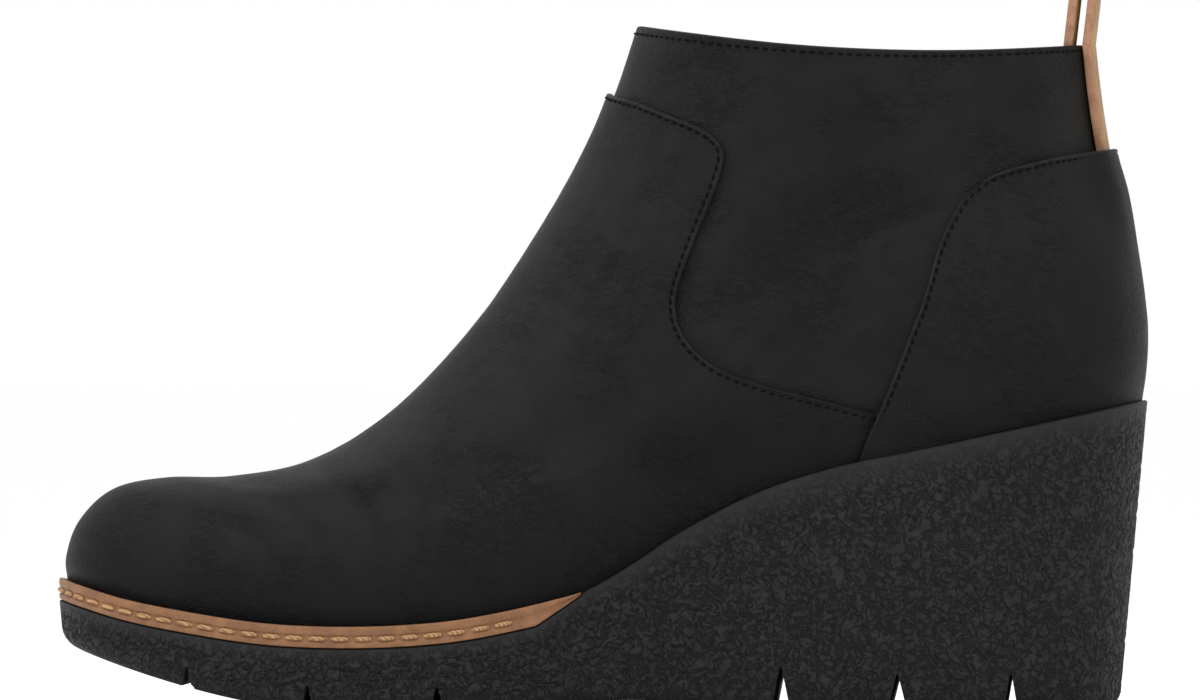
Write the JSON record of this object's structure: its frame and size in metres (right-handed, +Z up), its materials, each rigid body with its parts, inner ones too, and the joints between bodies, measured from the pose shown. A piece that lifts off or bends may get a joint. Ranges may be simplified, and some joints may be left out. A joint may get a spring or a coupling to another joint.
{
  "type": "wedge ankle boot",
  "caption": "Pull-on leather ankle boot on a tall rubber wedge sole, with overlaid vamp and heel panels, a stitched welt round the forefoot and a pull loop at the back.",
  "frame": {"origin": "centre of the boot's box in plan, on the floor that it stands on", "axes": "+X from the toe towards the heel, +Y towards the inner side of the foot, +Z up"},
  "size_m": [0.245, 0.0856, 0.165],
  "materials": {
    "black_leather": "fine grained, waxed, low sheen",
    "black_rubber": "crepe textured, matt",
    "tan_leather": "smooth, waxed edges",
    "lining": "matt lining leather"
  },
  "bodies": {
    "root": {"wedge_sole": "black_rubber", "welt": "tan_leather", "insole": "lining", "upper": "black_leather", "vamp": "black_leather", "counter": "black_leather", "pull_loop": "tan_leather"}
  },
  "joints": []
}
